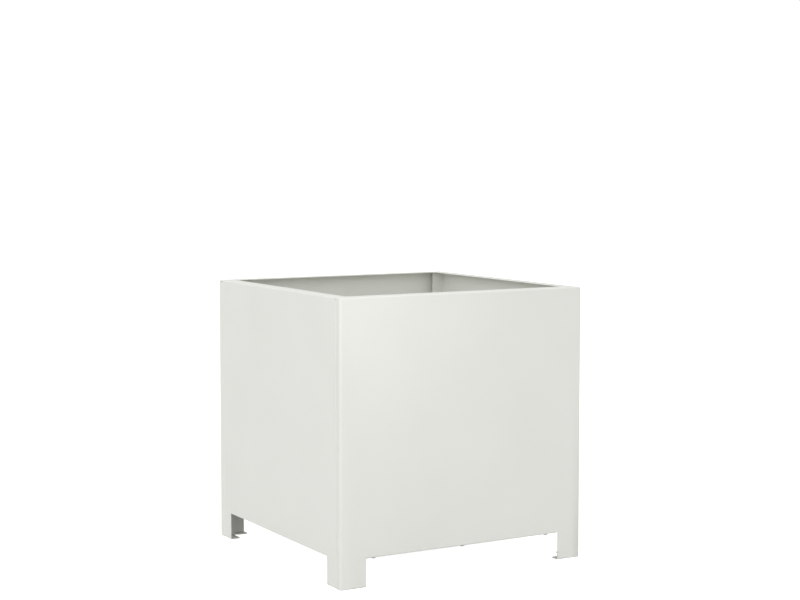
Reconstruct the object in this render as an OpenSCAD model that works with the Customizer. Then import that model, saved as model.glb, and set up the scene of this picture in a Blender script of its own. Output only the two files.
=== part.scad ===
// Square planter of folded and coated sheet steel on four angle legs.
// Two wrap-round panels (front and back) carry the four tall corner bends. Two flat side
// panels close the gaps between their returns. The four are bolted together through joint
// flanges inside the corners, and a drained bottom plate is bolted down on their lower lips.
// X runs to the right, Y to the back and Z up from the floor. The origin is on the floor,
// under the middle of the body.

/* [Overall size] */
// Width of the body across the front panel
body_w = 400; // [300:10:600]
// Depth of the body from the front face to the back face
body_d = 400; // [300:10:600]
// Height from the floor to the top of the rim
body_h = 400; // [250:10:600]

/* [Sheet] */
// Thickness of the coated sheet
sheet_t = 1.2; // [1:0.1:1.5]
// Outer radius of the tall bends at the four corners
corner_r = 4; // [2.5:0.5:5]
// Outer radius of all the other folds
fold_r = 1.8; // [1.6:0.1:2.4]

/* [Legs and feet] */
// Height of the legs, from the floor to the lower edge of the panels
leg_h = 40; // [30:5:80]
// Width of each leg wing, from the corner of the body
leg_w = 40; // [34:1:60]
// Depth of the foot tabs that are folded in under the leg wings
tab_w = 16; // [12:1:18]

/* [Rim and lips] */
// Width of the rim that is folded inwards round the top
rim_w = 20; // [16:1:30]
// Width of the lower lips that carry the bottom plate
lip_w = 16; // [14:1:24]
// Length of the slanted cut at the free corners of lips and tabs
lip_cut = 2.5; // [1:0.5:4]

/* [Corner joints] */
// Distance from the corner of the body to the upright seam on the side face
seam_in = 12; // [12:1:15]
// Reach of the joint flanges, from the side face inwards
joint_w = 20; // [18:1:24]

/* [Gaps] */
// Gap between the ends of the rim at each corner
rim_gap = 0.4; // [0.2:0.1:1]
// Width of the relief cuts at the ends of the folds
relief_w = 1; // [0.6:0.2:1.6]
// Gap between the bottom plate and the folds round it
plate_gap = 0.4; // [0.3:0.1:1]
// Gap all round between a bolt and the thread of its nut
thread_gap = 0.05; // [0.03:0.01:0.1]

/* [Bolts and nuts] */
// Diameter of the bolts
bolt_d = 5; // [4:1:5]
// Diameter of the holes that the bolts pass through
bolt_hole_d = 5.5; // [5.2:0.1:6]
// Length of a bolt below its head
bolt_l = 10; // [9:1:11]
// Diameter of a bolt head
head_d = 9.5; // [8:0.5:10]
// Height of a bolt head
head_h = 2.75; // [2:0.25:3.5]
// Height of the upright edge round a bolt head, below its dome
head_edge_h = 0.3; // [0.2:0.1:0.6]
// Width across the flats of the hexagon socket in a bolt head
socket_af = 3; // [2.5:0.5:4]
// Depth of the hexagon socket
socket_deep = 1.5; // [1:0.1:1.8]
// Width of a nut across its flats
nut_af = 8; // [7:0.5:8]
// Height of a nut
nut_h = 4; // [3:0.5:4.5]

/* [Bolt places] */
// Number of bolts in each corner joint
corner_bolt_n = 3; // [2:1:5]
// Height of the lowest corner bolt above the lower edge of the panels
corner_bolt_low = 40; // [30:5:60]
// Distance from the top of the rim down to the highest corner bolt
corner_bolt_top = 50; // [30:5:80]
// Number of bolts along each lower lip
base_bolt_n = 3; // [2:1:5]
// Distance from a leg to the nearest base bolt
base_bolt_end = 16; // [10:1:30]

/* [Drain holes] */
// Diameter of the drain holes in the bottom plate
drain_d = 10; // [6:1:14]
// Distance from the faces of the body to the outer drain holes
drain_in = 100; // [60:5:120]

/* [Hidden] */
$fn = 48;

coat = [0.89, 0.89, 0.87];
zinc = [0.72, 0.73, 0.74];

// Extra length of a cutting tool past the face that it enters
past = 1;
// Top of the upright sheet, where the fold into the rim begins
wall_top = body_h - fold_r;
// Top of the joint flanges, which stop short of the rim
joint_top = wall_top - relief_w;
// Length of a side panel between its two seams
side_l = body_d - 2 * seam_in;
// Place of the corner bolts across the flat of the joint flange
corner_bolt_in = (fold_r + joint_w) / 2;
// Place of the base bolts across the flat of the lip
base_bolt_in = (fold_r + lip_w) / 2;
// Height of the plane on which the bottom plate meets the lips
base_z = leg_h + sheet_t;
// Height of the dome on a bolt head, and the radius of its ball
dome_h = head_h - head_edge_h;
dome_r = (pow(head_d / 2, 2) + pow(dome_h, 2)) / (2 * dome_h);
// Width of a nut across its corners
nut_ac = nut_af / cos(30);

// Values from -1 to 1, evenly spaced, one for each of n places
function spread(n) = [for (i = [0 : n - 1]) 2 * i / (n - 1) - 1];

// Heights of the bolts in a corner joint
function corner_heights() =
    let (low = leg_h + corner_bolt_low, high = body_h - corner_bolt_top)
    [for (s = spread(corner_bolt_n)) (low + high) / 2 + s * (high - low) / 2];

// Places of the bolts along a lower lip, for a wall of length wall_l between the corners
function base_places(wall_l) =
    [for (s = spread(base_bolt_n)) s * (wall_l / 2 - leg_w - base_bolt_end)];

// Quarter ring in the first quadrant: the section of a fold in the sheet
module fold_section(outer_r) {
    intersection() {
        difference() {
            circle(r = outer_r);
            circle(r = outer_r - sheet_t);
        }
        square(outer_r);
    }
}

// Copies its children to both ends of a wall that is centred on X = 0
module both_ends() {
    children();
    mirror([1, 0, 0]) children();
}

// Section along +X, in the frame of a wall whose outer face lies on Y = 0
module along_wall(x0, x1) {
    translate([x0, 0, 0])
        rotate([90, 0, 90])
            linear_extrude(height = x1 - x0) children();
}

// Sheet folded inwards from the lower edge of a wall, its underside on Z = 0,
// with slanted cuts at its two free corners
module lip(x0, x1, reach) {
    along_wall(x0, x1)
        translate([fold_r, fold_r]) rotate(180) fold_section(fold_r);
    linear_extrude(height = sheet_t)
        polygon([
            [x0, fold_r], [x1, fold_r], [x1, reach - lip_cut],
            [x1 - lip_cut, reach], [x0 + lip_cut, reach], [x0, reach - lip_cut],
        ]);
}

// Sheet folded inwards from the upper edge of a wall, its upper face on Z = fold_r
module rim_strip(x0, x1, reach) {
    along_wall(x0, x1) {
        translate([fold_r, 0]) rotate(90) fold_section(fold_r);
        translate([fold_r, fold_r - sheet_t]) square([reach - fold_r, sheet_t]);
    }
}

// Rim where it follows the tall corner bend, about the axis of that bend
module rim_corner() {
    rotate([0, 0, -90])
        rotate_extrude(angle = 90) {
            translate([corner_r - fold_r, 0]) fold_section(fold_r);
            translate([0, fold_r - sheet_t]) square([corner_r - fold_r, sheet_t]);
        }
}

// Holes through a lower lip, for a wall of length wall_l between the corners
module lip_holes(wall_l) {
    for (x = base_places(wall_l))
        translate([x, base_bolt_in, -past])
            cylinder(d = bolt_hole_d, h = sheet_t + 2 * past);
}

// Lower edge of a wall: the lip between the legs and a foot tab under each leg wing.
// wall_l is the length of the body along this wall, and tab_in is the distance from the
// corner of the body at which the foot tabs end.
module lower_folds(wall_l, tab_in) {
    lip_half = wall_l / 2 - leg_w - relief_w;
    translate([0, 0, leg_h])
        difference() {
            lip(-lip_half, lip_half, lip_w);
            lip_holes(wall_l);
        }
    both_ends()
        lip(wall_l / 2 - leg_w, wall_l / 2 - tab_in - relief_w, tab_w);
}

// What is cut from the upright sheet of a wall: the opening between the legs and the
// strips that the lower folds replace
module lower_cuts(wall_l, tab_in) {
    opening_half = wall_l / 2 - leg_w;
    translate([-opening_half, -past, -past])
        cube([2 * opening_half, sheet_t + 2 * past, leg_h + fold_r + past]);
    both_ends()
        translate([opening_half - past, -past, -past])
            cube([leg_w - tab_in + past, sheet_t + 2 * past, fold_r + past]);
}

// Plan of the upright sheet of a wrap panel: the wall, two corner bends, two returns
module wrap_plan() {
    translate([corner_r - body_w / 2, 0]) square([body_w - 2 * corner_r, sheet_t]);
    both_ends() {
        translate([body_w / 2 - corner_r, corner_r]) rotate(-90) fold_section(corner_r);
        translate([body_w / 2 - sheet_t, corner_r])
            square([sheet_t, seam_in - corner_r - fold_r]);
    }
}

// Plan of the joint flanges of a wrap panel, with the folds at the two seams
module wrap_joint_plan() {
    both_ends() {
        translate([body_w / 2 - fold_r, seam_in - fold_r]) fold_section(fold_r);
        translate([body_w / 2 - joint_w, seam_in - sheet_t])
            square([joint_w - fold_r, sheet_t]);
    }
}

// Rim of a wrap panel. It goes round both corners and ends on a slanted line from the
// top of the seam to the inner corner of the rim.
module wrap_rim() {
    intersection() {
        translate([0, 0, wall_top]) {
            rim_strip(corner_r - body_w / 2, body_w / 2 - corner_r, rim_w);
            both_ends() {
                translate([body_w / 2 - corner_r, corner_r, 0]) rim_corner();
                translate([body_w / 2, 0, 0])
                    rotate([0, 0, 90]) rim_strip(corner_r, rim_w, corner_r);
            }
        }
        translate([0, 0, wall_top - past])
            linear_extrude(height = fold_r + 2 * past)
                polygon([
                    [-body_w / 2, 0], [body_w / 2, 0],
                    [body_w / 2, seam_in], [body_w / 2 - rim_w, rim_w],
                    [rim_w - body_w / 2, rim_w], [-body_w / 2, seam_in],
                ]);
    }
}

// Front or back panel, with its outer face on Y = 0
module wrap_panel() {
    difference() {
        union() {
            linear_extrude(height = wall_top) wrap_plan();
            linear_extrude(height = joint_top) wrap_joint_plan();
        }
        lower_cuts(body_w, joint_w);
        both_ends()
            for (z = corner_heights())
                translate([body_w / 2 - corner_bolt_in, seam_in + past, z])
                    rotate([90, 0, 0])
                        cylinder(d = bolt_hole_d, h = sheet_t + 2 * past);
    }
    lower_folds(body_w, joint_w);
    wrap_rim();
}

// Plan of the joint flanges of a side panel, with the folds at the two seams
module side_joint_plan() {
    both_ends() {
        translate([side_l / 2 - fold_r, fold_r]) rotate(-90) fold_section(fold_r);
        translate([side_l / 2 - sheet_t, fold_r]) square([sheet_t, joint_w - fold_r]);
    }
}

// Rim of a side panel, between the slanted ends of the wrap panels' rims
module side_rim() {
    outer_half = side_l / 2 - rim_gap;
    inner_half = body_d / 2 - rim_w - rim_gap;
    intersection() {
        translate([0, 0, wall_top]) rim_strip(-outer_half, outer_half, rim_w);
        translate([0, 0, wall_top - past])
            linear_extrude(height = fold_r + 2 * past)
                polygon([
                    [-outer_half, 0], [outer_half, 0],
                    [inner_half, rim_w], [-inner_half, rim_w],
                ]);
    }
}

// Left or right panel, with its outer face on Y = 0
module side_panel() {
    tab_in = seam_in + fold_r;
    difference() {
        union() {
            translate([fold_r - side_l / 2, 0, 0])
                cube([side_l - 2 * fold_r, sheet_t, wall_top]);
            linear_extrude(height = joint_top) side_joint_plan();
        }
        lower_cuts(body_d, tab_in);
        both_ends()
            for (z = corner_heights())
                translate([side_l / 2 - sheet_t - past, corner_bolt_in, z])
                    rotate([0, 90, 0])
                        cylinder(d = bolt_hole_d, h = sheet_t + 2 * past);
    }
    lower_folds(body_d, tab_in);
    side_rim();
}

// Button-head bolt with a hexagon socket, through two sheets that meet on Z = 0, head up
module bolt() {
    translate([0, 0, sheet_t]) {
        difference() {
            intersection() {
                cylinder(d = head_d, h = head_h);
                translate([0, 0, head_h - dome_r]) sphere(r = dome_r);
            }
            translate([0, 0, head_h - socket_deep])
                cylinder(d = socket_af / cos(30), h = socket_deep + past, $fn = 6);
        }
        translate([0, 0, -bolt_l]) cylinder(d = bolt_d, h = bolt_l);
    }
}

// Hexagon nut under the two sheets, with its upper and lower corners turned off
module nut() {
    chamfer = (nut_ac - nut_af) / 2;
    translate([0, 0, -sheet_t - nut_h])
        difference() {
            intersection() {
                cylinder(d = nut_ac, h = nut_h, $fn = 6);
                rotate_extrude()
                    polygon([
                        [0, 0], [nut_af / 2, 0], [nut_ac / 2, chamfer],
                        [nut_ac / 2, nut_h - chamfer], [nut_af / 2, nut_h], [0, nut_h],
                    ]);
            }
            translate([0, 0, -past])
                cylinder(r = bolt_d / 2 + thread_gap, h = nut_h + 2 * past);
        }
}

// Puts its children on each bolt axis of one corner joint, +Z towards the inside.
// x_side is -1 at the left and 1 at the right, y_side is -1 at the front and 1 at the back.
module at_corner_bolts(x_side, y_side) {
    for (z = corner_heights())
        translate([x_side * (body_w / 2 - corner_bolt_in), y_side * (body_d / 2 - seam_in), z])
            rotate([y_side * 90, 0, 0]) children();
}

// Puts its children on each bolt axis of the base along one wall, +Z downwards
module at_base_bolts(wall_l) {
    for (x = base_places(wall_l))
        translate([x, base_bolt_in, base_z]) rotate([180, 0, 0]) children();
}

// Turn a wall from its own frame into its place on the body
module at_front() { translate([0, -body_d / 2, 0]) children(); }
module at_back() { rotate([0, 0, 180]) at_front() children(); }
module at_left() { rotate([0, 0, -90]) translate([0, -body_w / 2, 0]) children(); }
module at_right() { rotate([0, 0, 180]) at_left() children(); }

module front_panel() { color(coat) at_front() wrap_panel(); }
module back_panel() { color(coat) at_back() wrap_panel(); }
module left_panel() { color(coat) at_left() side_panel(); }
module right_panel() { color(coat) at_right() side_panel(); }

// Flat plate on the lips, notched round the joint flanges of the four corners
module bottom_plate() {
    plate_w = body_w - 2 * (fold_r + plate_gap);
    plate_d = body_d - 2 * (fold_r + plate_gap);
    notch_x = body_w / 2 - joint_w - plate_gap;
    notch_y = body_d / 2 - seam_in - sheet_t - plate_gap;
    color(coat)
        translate([0, 0, base_z])
            difference() {
                translate([-plate_w / 2, -plate_d / 2, 0])
                    cube([plate_w, plate_d, sheet_t]);
                for (a = [0, 1], b = [0, 1])
                    mirror([a, 0, 0]) mirror([0, b, 0])
                        translate([notch_x, notch_y, -past])
                            cube([joint_w, seam_in + joint_w, sheet_t + 2 * past]);
                at_front() lip_holes(body_w);
                at_back() lip_holes(body_w);
                at_left() lip_holes(body_d);
                at_right() lip_holes(body_d);
                for (p = drain_places())
                    translate([p.x, p.y, -past])
                        cylinder(d = drain_d, h = sheet_t + 2 * past);
            }
}

// Middle of the plate and a square of four round it
function drain_places() =
    let (x = body_w / 2 - drain_in, y = body_d / 2 - drain_in)
    [[0, 0], [-x, -y], [x, -y], [-x, y], [x, y]];

module front_left_corner_bolts() { color(zinc) at_corner_bolts(-1, -1) bolt(); }
module front_right_corner_bolts() { color(zinc) at_corner_bolts(1, -1) bolt(); }
module back_left_corner_bolts() { color(zinc) at_corner_bolts(-1, 1) bolt(); }
module back_right_corner_bolts() { color(zinc) at_corner_bolts(1, 1) bolt(); }

module front_left_corner_nuts() { color(zinc) at_corner_bolts(-1, -1) nut(); }
module front_right_corner_nuts() { color(zinc) at_corner_bolts(1, -1) nut(); }
module back_left_corner_nuts() { color(zinc) at_corner_bolts(-1, 1) nut(); }
module back_right_corner_nuts() { color(zinc) at_corner_bolts(1, 1) nut(); }

module front_base_bolts() { color(zinc) at_front() at_base_bolts(body_w) bolt(); }
module back_base_bolts() { color(zinc) at_back() at_base_bolts(body_w) bolt(); }
module left_base_bolts() { color(zinc) at_left() at_base_bolts(body_d) bolt(); }
module right_base_bolts() { color(zinc) at_right() at_base_bolts(body_d) bolt(); }

module front_base_nuts() { color(zinc) at_front() at_base_bolts(body_w) nut(); }
module back_base_nuts() { color(zinc) at_back() at_base_bolts(body_w) nut(); }
module left_base_nuts() { color(zinc) at_left() at_base_bolts(body_d) nut(); }
module right_base_nuts() { color(zinc) at_right() at_base_bolts(body_d) nut(); }

front_panel();
back_panel();
left_panel();
right_panel();
bottom_plate();
front_left_corner_bolts();
front_right_corner_bolts();
back_left_corner_bolts();
back_right_corner_bolts();
front_left_corner_nuts();
front_right_corner_nuts();
back_left_corner_nuts();
back_right_corner_nuts();
front_base_bolts();
back_base_bolts();
left_base_bolts();
right_base_bolts();
front_base_nuts();
back_base_nuts();
left_base_nuts();
right_base_nuts();
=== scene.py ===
"""A square planter of folded and powder-coated sheet steel, held together by zinc-plated bolts.

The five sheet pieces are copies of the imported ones, with their cut edges rounded off as a coat
rounds them. The bolts and nuts are made anew, with threads, and set out along their rows.
"""

import math

import bmesh
import bpy
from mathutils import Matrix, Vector


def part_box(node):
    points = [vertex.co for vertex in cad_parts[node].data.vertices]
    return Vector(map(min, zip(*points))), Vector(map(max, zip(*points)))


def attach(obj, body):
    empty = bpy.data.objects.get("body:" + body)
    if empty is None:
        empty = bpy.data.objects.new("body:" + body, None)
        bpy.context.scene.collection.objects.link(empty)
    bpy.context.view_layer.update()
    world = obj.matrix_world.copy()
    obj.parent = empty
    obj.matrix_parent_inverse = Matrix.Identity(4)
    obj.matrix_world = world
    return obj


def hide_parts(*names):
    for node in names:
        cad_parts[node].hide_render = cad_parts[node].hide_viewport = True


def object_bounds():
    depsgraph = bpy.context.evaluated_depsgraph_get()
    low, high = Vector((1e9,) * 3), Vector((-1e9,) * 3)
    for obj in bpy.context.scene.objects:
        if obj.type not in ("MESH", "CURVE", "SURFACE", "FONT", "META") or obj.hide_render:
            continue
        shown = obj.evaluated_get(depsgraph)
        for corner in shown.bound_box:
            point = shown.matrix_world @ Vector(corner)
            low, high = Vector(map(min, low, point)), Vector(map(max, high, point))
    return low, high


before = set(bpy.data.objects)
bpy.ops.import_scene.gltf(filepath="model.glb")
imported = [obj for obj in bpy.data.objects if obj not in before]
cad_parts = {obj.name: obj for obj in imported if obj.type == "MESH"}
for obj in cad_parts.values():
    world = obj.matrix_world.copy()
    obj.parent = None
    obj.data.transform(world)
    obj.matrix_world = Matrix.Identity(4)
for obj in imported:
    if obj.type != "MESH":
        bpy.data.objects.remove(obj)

cad_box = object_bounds()

MM = 0.001

WRAPS = ("front_panel", "back_panel")
SHEETS = (*WRAPS, "left_panel", "right_panel", "bottom_plate")
CORNERS = ("front_left", "front_right", "back_left", "back_right")
EDGES = ("front", "back", "left", "right")
FASTENERS_IN_A_ROW = 3
SIXTH_TURN = math.pi / 3

# Noise: a scale is blotches to the metre, and a finish is spread over the middle of its values
SOFT_RANGE = (0.35, 0.65)
FINE_RANGE = (0.3, 0.7)

# Powder coat
COAT_TONES = ((0.785, 0.793, 0.746), (0.799, 0.807, 0.760))
COAT_ROUGHNESS = (0.40, 0.50)
COAT_CLOUD_SCALE = 9
PEEL_SCALE = 620
PEEL_DEPTH = 0.014 * MM
GRAIN_SCALE = 3200
GRAIN_DEPTH = 0.003 * MM

# Zinc plate
ZINC_TONES = ((0.60, 0.62, 0.64), (0.72, 0.72, 0.70))
ZINC_ROUGHNESS = (0.24, 0.40)
ZINC_CLOUD_SCALE = 260
ZINC_CLOUD_DEPTH = 0.01 * MM
TURNING_SCALE = 2600
TURNING_DEPTH = 0.003 * MM

# Floor paper
PAPER_TONES = ((0.64, 0.64, 0.64), (0.66, 0.66, 0.66))
PAPER_ROUGHNESS = 0.9
PAPER_GLOSS = 0.1
PAPER_CLOUD_SCALE = 2
FIBRE_SCALE = 900
FIBRE_DEPTH = 0.02 * MM

# The coat on a cut edge: how far it rounds the edge off, and what counts as a cut edge
COAT_ROUND = 0.28 * MM
COAT_STEPS = 3
CUT_EDGE = math.radians(40)
SAME_POINT = 0.001 * MM
SAME_PLANE = math.radians(0.3)

# The tall corner bends: the shading normals of the flat beside a bend are turned round a little
# towards the feet, where no fold stiffens it, and those of the return lean in towards its seam; the
# sheet itself stays flat. The easing ends EASE_W from the side and at the last of EASE_HEIGHTS,
# and the panels are cut across there for it to change at.
BEND_R = 4 * MM
HALF_BEND = math.radians(45)
WALL_SLANT = 0.5
EASE_W = 17.5 * MM
EASE_TURN = math.radians(30)
EASE_HEIGHTS = (70 * MM, 120 * MM, 170 * MM, 220 * MM, 280 * MM)
RETURN_TURN = math.radians(6)
SKIN_DEPTH = 0.05 * MM

# Button-head bolt
SHANK_R = 2.5 * MM
SHANK_L = 10 * MM
HEAD_R = 4.75 * MM
HEAD_H = 2.75 * MM
HEAD_EDGE_H = 0.3 * MM
HEAD_EDGE_BEVEL = 0.1 * MM
HEAD_FLAT_R = 2.35 * MM
NECK_BEVEL = 0.05 * MM
SOCKET_AF = 3 * MM
SOCKET_DEEP = 1.5 * MM
SOCKET_CONE_H = 0.25 * MM
SOCKET_BEVEL_H = 0.12 * MM
SOCKET_FLARE = 1.03
TIP_BEVEL = 0.6 * MM

# Its thread, with the shares of the pitch that are flat at the crest and at the root
THREAD_PITCH = 0.8 * MM
THREAD_DEPTH = 0.49 * MM
THREAD_CREST = 1 / 8
THREAD_ROOT = 1 / 4

# Hexagon nut
NUT_AF = 8 * MM
NUT_H = 4 * MM
NUT_BORE_R = 2.55 * MM
NUT_SINK_R = 2.9 * MM
NUT_FACE_R = 3.7 * MM
NUT_SHOULDER = math.radians(30)

# How finely they are made. The rings of a head lie closer together towards its flat top.
ROUND_SIDES = 48
HEAD_RINGS = 7
HEAD_CROWD = 1.6
THREAD_RINGS = 8
ROUND_EDGE = math.radians(35)

# Studio: a dome that lights more from some sides, how bright it looks, and one small soft box
DOME_LIGHT = 0.83
DOME_SIDES = (((-1, 0, 0), 0.23), ((-0.707, -0.707, 0), 0.54))
DOME_SEEN = 1.04
KEY_PLACE = (-0.18, -0.40, 0.42)
KEY_TARGET = (0, 0, 0.25)
KEY_SIZE = 0.26
KEY_POWER = 0.10
FLOOR_HALF = 40
FLOOR_GAP = 0.1 * MM
FLOOR_GLOW = 0.95

# Camera: lens and film width in millimetres, and how far it looks down and to the right, in radians
LENS = 75.87
FILM_W = 36
LENS_SHIFT = -0.03
NEAR, FAR = 0.05, 200
VIEW_PLACE = (-1.25897, -2.19502, 0.58879)
VIEW_DOWN = 0.07029
VIEW_RIGHT = 0.52381


# Nodes of a material, a world or a geometry tree

def add(tree, kind, **values):
    """A node of that kind. A value names a setting of the node, or else one of its inputs."""
    made = tree.nodes.new(kind)
    for name, value in values.items():
        if hasattr(made, name):
            setattr(made, name, value)
        else:
            made.inputs[name.replace("_", " ").title()].default_value = value
    return made


def join(tree, *pairs):
    """Links pairs of (output socket, input socket)."""
    for out, into in pairs:
        tree.links.new(out, into)


def noise(tree, place, scale, detail):
    """A soft noise over the piece, scale blotches to the metre."""
    made = add(tree, "ShaderNodeTexNoise", scale=scale, detail=detail)
    join(tree, (place, made.inputs["Vector"]))
    return made.outputs["Fac"]


def spread_over(tree, value, given, wanted):
    """Maps value from the range given to the range wanted, and holds it there."""
    made = add(
        tree, "ShaderNodeMapRange", clamp=True,
        from_min=given[0], from_max=given[1], to_min=wanted[0], to_max=wanted[1],
    )
    join(tree, (value, made.inputs["Value"]))
    return made.outputs["Result"]


def new_finish(name):
    """A material with its shader, and Object coordinates to lay patterns on."""
    finish = bpy.data.materials.new(name)
    finish.use_nodes = True
    tree = finish.node_tree
    shader = tree.nodes["Principled BSDF"]
    place = add(tree, "ShaderNodeTexCoord").outputs["Object"]
    return finish, tree, shader, place


def tint(tree, shader, amount, tones):
    """Colours the shader between two near tones."""
    mix = add(tree, "ShaderNodeMix", data_type="RGBA")
    for colour, tone in zip([s for s in mix.inputs if s.type == "RGBA"], tones):
        colour.default_value = (*tone, 1)
    out = [s for s in mix.outputs if s.type == "RGBA"][0]
    join(tree, (amount, mix.inputs["Factor"]), (out, shader.inputs["Base Color"]))


def relief(tree, shader, layers):
    """Adds bump to the shader: layers of (height, depth in metres), the coarsest first."""
    normal = None
    for height, depth in layers:
        bump = add(tree, "ShaderNodeBump", strength=1, distance=depth)
        join(tree, (height, bump.inputs["Height"]))
        if normal is not None:
            join(tree, (normal, bump.inputs["Normal"]))
        normal = bump.outputs["Normal"]
    join(tree, (normal, shader.inputs["Normal"]))


def powder_coat():
    """Satin off-white powder coat, with faint clouds, an orange peel and the grain of the powder."""
    finish, tree, shader, place = new_finish("off_white_powder_coat")
    clouds = noise(tree, place, COAT_CLOUD_SCALE, detail=3)
    peel = noise(tree, place, PEEL_SCALE, detail=2)
    grain = noise(tree, place, GRAIN_SCALE, detail=2)
    tint(tree, shader, spread_over(tree, clouds, SOFT_RANGE, (0, 1)), COAT_TONES)
    join(tree, (spread_over(tree, grain, FINE_RANGE, COAT_ROUGHNESS), shader.inputs["Roughness"]))
    relief(tree, shader, ((peel, PEEL_DEPTH), (grain, GRAIN_DEPTH)))
    return finish


def zinc_plate():
    """Bright zinc on steel, a little clouded, with fine turning marks."""
    finish, tree, shader, place = new_finish("bright_zinc_plate")
    shader.inputs["Metallic"].default_value = 1
    clouds = noise(tree, place, ZINC_CLOUD_SCALE, detail=3)
    marks = noise(tree, place, TURNING_SCALE, detail=3)
    tint(tree, shader, spread_over(tree, clouds, SOFT_RANGE, (0, 1)), ZINC_TONES)
    join(tree, (spread_over(tree, marks, FINE_RANGE, ZINC_ROUGHNESS), shader.inputs["Roughness"]))
    relief(tree, shader, ((clouds, ZINC_CLOUD_DEPTH), (marks, TURNING_DEPTH)))
    return finish


def floor_paper():
    """Matt white studio paper. Its own glow is for the eye alone and lights nothing."""
    finish, tree, shader, place = new_finish("floor_paper")
    fibre = noise(tree, place, FIBRE_SCALE, detail=3)
    tint(tree, shader, noise(tree, place, PAPER_CLOUD_SCALE, detail=2), PAPER_TONES)
    shader.inputs["Roughness"].default_value = PAPER_ROUGHNESS
    shader.inputs["Specular IOR Level"].default_value = PAPER_GLOSS
    shader.inputs["Emission Color"].default_value = (1, 1, 1, 1)
    ray = add(tree, "ShaderNodeLightPath")
    glow = spread_over(tree, ray.outputs["Is Camera Ray"], (0, 1), (0, FLOOR_GLOW))
    join(tree, (glow, shader.inputs["Emission Strength"]))
    relief(tree, shader, ((fibre, FIBRE_DEPTH),))
    return finish


# Sheet pieces

def has_room(edge):
    """True if both faces at an edge are wide enough for it to be rounded off."""
    start = edge.verts[0].co
    way = (edge.verts[1].co - start).normalized()
    widths = [max((v.co - start).cross(way).length for v in face.verts) for face in edge.link_faces]
    return min(widths) > 2 * COAT_ROUND


def round_cut_edges(shape):
    """Rounds off the edges of a sheet as its coat does. Folds and inner corners stay."""
    cut = [e for e in shape.edges if e.is_convex and e.calc_face_angle() > CUT_EDGE and has_room(e)]
    bmesh.ops.bevel(
        shape, geom=cut, offset=COAT_ROUND, offset_type="OFFSET", segments=COAT_STEPS, profile=0.5,
        affect="EDGES", clamp_overlap=False, loop_slide=False,
    )


def cut_across(shape):
    """Cuts the faces of a wrap panel across where the easing beside its bends changes."""
    cuts = [((0, 0, height), (0, 0, 1)) for height in EASE_HEIGHTS]
    cuts += [((side * (cad_box[1][0] - EASE_W), 0, 0), (1, 0, 0)) for side in (-1, 1)]
    for place, way in cuts:
        parts = shape.verts[:] + shape.edges[:] + shape.faces[:]
        bmesh.ops.bisect_plane(shape, geom=parts, plane_co=place, plane_no=way)


def in_order(shape):
    """Puts points, edges and faces in order of place, because a cut leaves them in no fixed order."""
    rank = {vert: i for i, vert in enumerate(sorted(shape.verts, key=lambda vert: vert.co[:]))}
    shape.verts.sort(key=rank.get)
    for parts in (shape.edges, shape.faces):
        ordered = sorted(parts, key=lambda part: sorted(rank[vert] for vert in part.verts))
        parts.sort(key={part: i for i, part in enumerate(ordered)}.get)


def ease_bend(place, normal):
    """Turns the normal of a point on the outer skin beside a tall corner bend. A point deeper than the
    skin, away from the bend or on a slanting face keeps its own."""
    in_x, in_y = cad_box[1][0] - abs(place.x), cad_box[1][1] - abs(place.y)
    deep = BEND_R - math.hypot(max(0, BEND_R - in_x), max(0, BEND_R - in_y))
    beside = (EASE_W - in_x) / (EASE_W - BEND_R)
    if deep > SKIN_DEPTH or beside <= 0 or abs(normal.z) > WALL_SLANT:
        return
    # How far the normal has turned from facing front or back to facing the side
    side, front = math.copysign(1, place.x), math.copysign(1, place.y)
    turn = math.atan2(side * normal.x, front * normal.y)
    down = max(0, 1 - place.z / EASE_HEIGHTS[-1])
    eased = max(turn, EASE_TURN * min(1, beside) * down)
    eased += RETURN_TURN * min(1, max(0, turn / HALF_BEND - 1))
    level = math.hypot(normal.x, normal.y)
    normal.x, normal.y = side * level * math.sin(eased), front * level * math.cos(eased)


def shade(mesh, wraps):
    """Gives each point the normal of the faces round it by their size, so that flats stay flat."""
    normals = [Vector() for _ in mesh.vertices]
    for face in mesh.polygons:
        for i in face.vertices:
            normals[i] += face.area * face.normal
    for vertex, normal in zip(mesh.vertices, normals):
        normal.normalize()
        if wraps:
            ease_bend(vertex.co, normal)
    mesh.normals_split_custom_set_from_vertices(normals)


def coated_sheet(node, finish):
    """Stands for a packed sheet piece: its flats joined up, and its cut edges rounded by the coat."""
    shape = bmesh.new()
    shape.from_mesh(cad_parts[node].data)
    bmesh.ops.remove_doubles(shape, verts=shape.verts, dist=SAME_POINT)
    bmesh.ops.dissolve_limit(shape, angle_limit=SAME_PLANE, verts=shape.verts, edges=shape.edges)
    round_cut_edges(shape)
    if node in WRAPS:
        cut_across(shape)
        in_order(shape)
    for face in shape.faces:
        face.smooth = True
    mesh = bpy.data.meshes.new("coated_" + node)
    shape.to_mesh(mesh)
    shape.free()
    shade(mesh, node in WRAPS)
    mesh.materials.append(finish)
    piece = bpy.data.objects.new("coated_" + node, mesh)
    bpy.context.scene.collection.objects.link(piece)
    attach(piece, "root")
    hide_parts(node)


# Bolts and nuts, each made once, pointing up

def hexagon(turn, across):
    """Radius at that angle of a hexagon of that width across its flats."""
    return across / 2 / math.cos((turn + SIXTH_TURN / 2) % SIXTH_TURN - SIXTH_TURN / 2)


def circle(radius, height):
    """A round ring."""
    return lambda turn: (radius, height)


def flats(across, height):
    """A hexagon ring of that width across its flats."""
    return lambda turn: (hexagon(turn, across), height)


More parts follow.
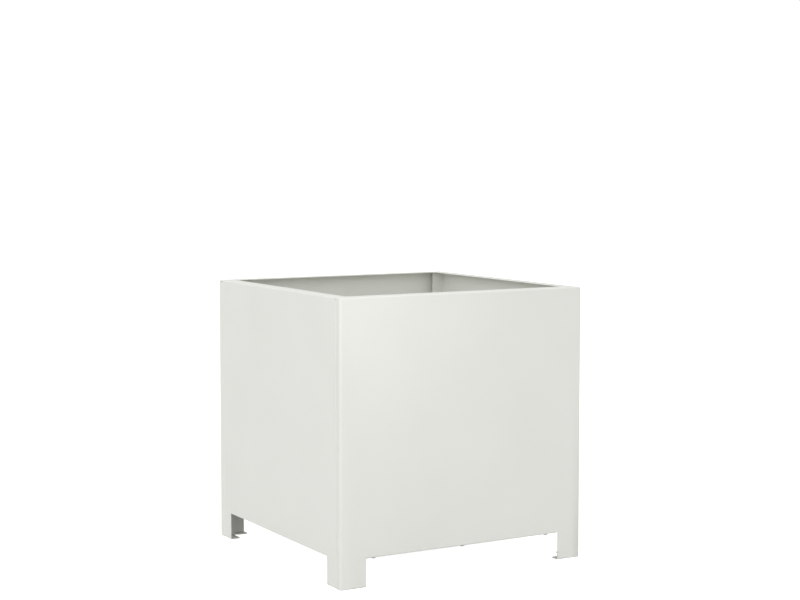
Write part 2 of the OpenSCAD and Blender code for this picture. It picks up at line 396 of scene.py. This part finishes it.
def turned(name, rings, closed=True):
    """A shape through its rings in turn. A ring gives for each angle (radius, height), or is a single
    height on the axis. Unless the last ring joins the first, the first and last are on the axis."""
    shape = bmesh.new()
    turns = [2 * math.pi * i / ROUND_SIDES for i in range(ROUND_SIDES)]
    rows = []
    for ring in rings:
        if callable(ring):
            row = []
            for turn in turns:
                radius, height = ring(turn)
                row.append(shape.verts.new((radius * math.cos(turn), radius * math.sin(turn), height)))
        else:
            row = [shape.verts.new((0, 0, ring))]
        rows.append(row)
    pairs = list(zip(rows, rows[1:]))
    if closed:
        pairs.append((rows[-1], rows[0]))
    for low, high in pairs:
        for i in range(ROUND_SIDES):
            around = ((low, i), (low, i + 1), (high, i + 1), (high, i))
            corners = list(dict.fromkeys(row[k % len(row)] for row, k in around))
            if len(corners) > 2:
                shape.faces.new(corners)
    bmesh.ops.recalc_face_normals(shape, faces=shape.faces)
    for face in shape.faces:
        face.smooth = True
    for edge in shape.edges:
        edge.smooth = edge.calc_face_angle(0) < ROUND_EDGE
    mesh = bpy.data.meshes.new(name)
    shape.to_mesh(mesh)
    shape.free()
    return bpy.data.objects.new(name, mesh)


def thread_ring(height):
    """A ring of the thread, a helical vee that fades in under the head and is bevelled at the tip."""
    flank = 1 - THREAD_CREST - THREAD_ROOT

    def ring(turn):
        phase = (height / THREAD_PITCH - turn / (2 * math.pi)) % 1
        vee = min(1, max(0, (abs(2 * phase - 1) - THREAD_CREST) / flank))
        fade = min(1, height / THREAD_PITCH)
        tip = SHANK_R - max(0, height - (SHANK_L - TIP_BEVEL))
        return min(SHANK_R - THREAD_DEPTH * vee * fade, tip), height
    return ring


def button_head_bolt():
    """A button-head bolt on the origin, its head below the plane of its seat and its shank above."""
    # The socket, from its drilled cone to its flared edge
    socket_floor = SOCKET_DEEP - HEAD_H
    socket_edge = SOCKET_AF / 2 / math.cos(SIXTH_TURN / 2) * SOCKET_FLARE
    rings = [
        socket_floor + SOCKET_CONE_H, flats(SOCKET_AF, socket_floor),
        flats(SOCKET_AF, SOCKET_BEVEL_H - HEAD_H), circle(socket_edge, -HEAD_H),
    ]
    # The dome is part of a ball through the rim of its flat and the top of its upright edge
    dome_h = HEAD_H - HEAD_EDGE_H
    flat_to_centre = (HEAD_R ** 2 - HEAD_FLAT_R ** 2 + dome_h ** 2) / (2 * dome_h)
    ball_r = math.hypot(HEAD_FLAT_R, flat_to_centre)
    centre = flat_to_centre - HEAD_H
    for i in range(HEAD_RINGS + 1):
        height = -HEAD_H + dome_h * (i / HEAD_RINGS) ** HEAD_CROWD
        rings.append(circle(math.sqrt(ball_r ** 2 - (height - centre) ** 2), height))
    # The seat and the threaded shank
    rings += [
        circle(HEAD_R, -HEAD_EDGE_BEVEL), circle(HEAD_R - HEAD_EDGE_BEVEL, 0),
        circle(SHANK_R + NECK_BEVEL, 0),
    ]
    step = THREAD_PITCH / THREAD_RINGS
    rings += [thread_ring(i * step) for i in range(1, round(SHANK_L / step) + 1)]
    rings.append(SHANK_L)
    return turned("button_head_bolt", rings, closed=False)


def hexagon_nut():
    """A hexagon nut standing on the origin, its corners turned down at both faces."""
    def shoulder(height, down):
        def ring(turn):
            radius = hexagon(turn, NUT_AF)
            return radius, height - down * (radius - NUT_FACE_R) * math.tan(NUT_SHOULDER)
        return ring

    sink = NUT_SINK_R - NUT_BORE_R
    rings = [
        circle(NUT_BORE_R, sink), circle(NUT_SINK_R, 0), circle(NUT_FACE_R, 0),
        shoulder(0, -1), shoulder(NUT_H, 1),
        circle(NUT_FACE_R, NUT_H), circle(NUT_SINK_R, NUT_H), circle(NUT_BORE_R, NUT_H - sink),
    ]
    return turned("hexagon_nut", rings)


def row_tree():
    """Geometry nodes that set out a row of one fastener, each turned a little differently on its axis."""
    tree = bpy.data.node_groups.new("row_of_fasteners", "GeometryNodeTree")
    for name, kind in (
        ("Fastener", "Object"), ("Count", "Int"), ("First", "Vector"), ("Step", "Vector"),
        ("Aim", "Rotation"), ("Most Turn", "Float"), ("Seed", "Int"), ("Finish", "Material"),
    ):
        tree.interface.new_socket(name=name, in_out="INPUT", socket_type="NodeSocket" + kind)
    tree.interface.new_socket(name="Row", in_out="OUTPUT", socket_type="NodeSocketGeometry")
    given = tree.nodes.new("NodeGroupInput").outputs
    made = tree.nodes.new("NodeGroupOutput").inputs["Row"]
    line = add(tree, "GeometryNodeMeshLine", mode="OFFSET")
    one = add(tree, "GeometryNodeObjectInfo")
    turn = add(tree, "FunctionNodeRandomValue", data_type="FLOAT")
    least, most = [s for s in turn.inputs if s.name in ("Min", "Max") and s.type == "VALUE"]
    least.default_value = 0
    spin = add(tree, "ShaderNodeCombineXYZ")
    about = add(tree, "FunctionNodeEulerToRotation")
    aimed = add(tree, "FunctionNodeRotateRotation", rotation_space="LOCAL")
    row = add(tree, "GeometryNodeInstanceOnPoints")
    real = add(tree, "GeometryNodeRealizeInstances")
    coat = add(tree, "GeometryNodeSetMaterial")
    turned_by = [s for s in turn.outputs if s.type == "VALUE"][0]
    join(
        tree,
        (given["Count"], line.inputs["Count"]),
        (given["First"], line.inputs["Start Location"]),
        (given["Step"], line.inputs["Offset"]),
        (given["Fastener"], one.inputs["Object"]),
        (given["Most Turn"], most),
        (given["Seed"], turn.inputs["Seed"]),
        (turned_by, spin.inputs["Z"]),
        (spin.outputs["Vector"], about.inputs["Euler"]),
        (given["Aim"], aimed.inputs["Rotation"]),
        (about.outputs["Rotation"], aimed.inputs["Rotate By"]),
        (line.outputs["Mesh"], row.inputs["Points"]),
        (one.outputs["Geometry"], row.inputs["Instance"]),
        (aimed.outputs["Rotation"], row.inputs["Rotation"]),
        (row.outputs["Instances"], real.inputs["Geometry"]),
        (real.outputs["Geometry"], coat.inputs["Geometry"]),
        (given["Finish"], coat.inputs["Material"]),
        (coat.outputs["Geometry"], made),
    )
    return tree


def fastener_row(node, tree, fastener, aim, seat, finish, seed):
    """Stands for a packed group of bolts or nuts. Their places are read from the group's box: they lie
    along its longest side, and seat is how far along the aimed axis their seat is from the box's start."""
    low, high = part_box(node)
    size = high - low
    along = max(range(3), key=lambda i: size[i])
    axis = [i for i in range(3) if aim[i]][0]
    across = 3 - along - axis
    half = size[across] / 2
    first = (low + high) / 2
    first[along] = low[along] + half
    first[axis] = (low[axis] if aim[axis] > 0 else high[axis]) + aim[axis] * seat
    step = Vector((0, 0, 0))
    step[along] = (size[along] - 2 * half) / (FASTENERS_IN_A_ROW - 1)
    holder = bpy.data.objects.new(node + "_plated", bpy.data.meshes.new(node + "_plated"))
    bpy.context.scene.collection.objects.link(holder)
    maker = holder.modifiers.new("row", "NODES")
    maker.node_group = tree
    sockets = {s.name: s.identifier for s in tree.interface.items_tree if s.in_out == "INPUT"}
    for name, value in (
        ("Fastener", fastener), ("Count", FASTENERS_IN_A_ROW), ("First", first), ("Step", step),
        ("Aim", Vector((0, 0, 1)).rotation_difference(Vector(aim)).to_euler()),
        ("Most Turn", SIXTH_TURN), ("Seed", seed), ("Finish", finish),
    ):
        maker[sockets[name]] = value
    bpy.context.view_layer.update()
    seen = holder.evaluated_get(bpy.context.evaluated_depsgraph_get())
    mesh = bpy.data.meshes.new_from_object(seen)
    mesh.name = node + "_plated"
    holder.modifiers.clear()
    holder.data = mesh
    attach(holder, "root")
    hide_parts(node)


# Studio

def white_dome():
    """A white dome that lights more from some sides than from others, and looks evenly white."""
    world = bpy.data.worlds.new("white_studio")
    bpy.context.scene.world = world
    world.use_nodes = True
    tree = world.node_tree
    seen = tree.nodes["Background"]
    seen.inputs["Color"].default_value = (1, 1, 1, 1)
    way = add(tree, "ShaderNodeTexCoord").outputs["Generated"]
    light = None
    for side, more in DOME_SIDES:
        lean = add(tree, "ShaderNodeVectorMath", operation="DOT_PRODUCT")
        lean.inputs[1].default_value = side
        join(tree, (way, lean.inputs[0]))
        part = spread_over(tree, lean.outputs["Value"], (0, 1), (0, more))
        total = add(tree, "ShaderNodeMath", operation="ADD")
        total.inputs[1].default_value = DOME_LIGHT
        if light is not None:
            join(tree, (light, total.inputs[1]))
        join(tree, (part, total.inputs[0]))
        light = total.outputs["Value"]
    ray = add(tree, "ShaderNodeLightPath")
    shown = add(tree, "ShaderNodeMix", data_type="FLOAT")
    shown.inputs["B"].default_value = DOME_SEEN
    join(
        tree, (ray.outputs["Is Camera Ray"], shown.inputs["Factor"]), (light, shown.inputs["A"]),
        (shown.outputs["Result"], seen.inputs["Strength"]),
    )


def key_light():
    """A square soft box that isn't seen itself."""
    light = bpy.data.lights.new("key", "AREA")
    light.shape = "SQUARE"
    light.size = KEY_SIZE
    light.energy = KEY_POWER
    lamp = bpy.data.objects.new("key", light)
    lamp.location = KEY_PLACE
    lamp.rotation_euler = (Vector(KEY_TARGET) - lamp.location).to_track_quat("-Z", "Y").to_euler()
    lamp.visible_camera = False
    bpy.context.scene.collection.objects.link(lamp)


def pale_floor():
    """A wide floor of studio paper, just clear of the feet."""
    ground = bmesh.new()
    bmesh.ops.create_grid(ground, x_segments=1, y_segments=1, size=FLOOR_HALF)
    mesh = bpy.data.meshes.new("floor")
    ground.to_mesh(mesh)
    ground.free()
    mesh.materials.append(floor_paper())
    floor = bpy.data.objects.new("floor", mesh)
    floor.location.z = -FLOOR_GAP
    bpy.context.scene.collection.objects.link(floor)


def camera():
    """The camera at the photograph's place, height and lens."""
    lens = bpy.data.cameras.new("camera")
    lens.sensor_width = FILM_W
    lens.lens = LENS
    lens.shift_y = LENS_SHIFT
    lens.clip_start, lens.clip_end = NEAR, FAR
    view = bpy.data.objects.new("camera", lens)
    view.location = VIEW_PLACE
    view.rotation_euler = (math.pi / 2 - VIEW_DOWN, 0, -VIEW_RIGHT)
    bpy.context.scene.collection.objects.link(view)
    bpy.context.scene.camera = view


camera()
white_dome()
key_light()
pale_floor()
coat, zinc = powder_coat(), zinc_plate()
for sheet in SHEETS:
    coated_sheet(sheet, coat)

rows = row_tree()
bolt, nut = button_head_bolt(), hexagon_nut()
seed = 1
for corner in CORNERS:
    outward = (0, -1, 0) if corner.startswith("front") else (0, 1, 0)
    fastener_row(corner + "_corner_bolts", rows, bolt, outward, HEAD_H, zinc, seed)
    fastener_row(corner + "_corner_nuts", rows, nut, outward, 0, zinc, seed + 1)
    seed += 2
for edge in EDGES:
    fastener_row(edge + "_base_bolts", rows, bolt, (0, 0, 1), HEAD_H, zinc, seed)
    fastener_row(edge + "_base_nuts", rows, nut, (0, 0, 1), 0, zinc, seed + 1)
    seed += 2
bpy.data.objects.remove(bolt)
bpy.data.objects.remove(nut)

bpy.context.scene.view_settings.view_transform = "Standard"
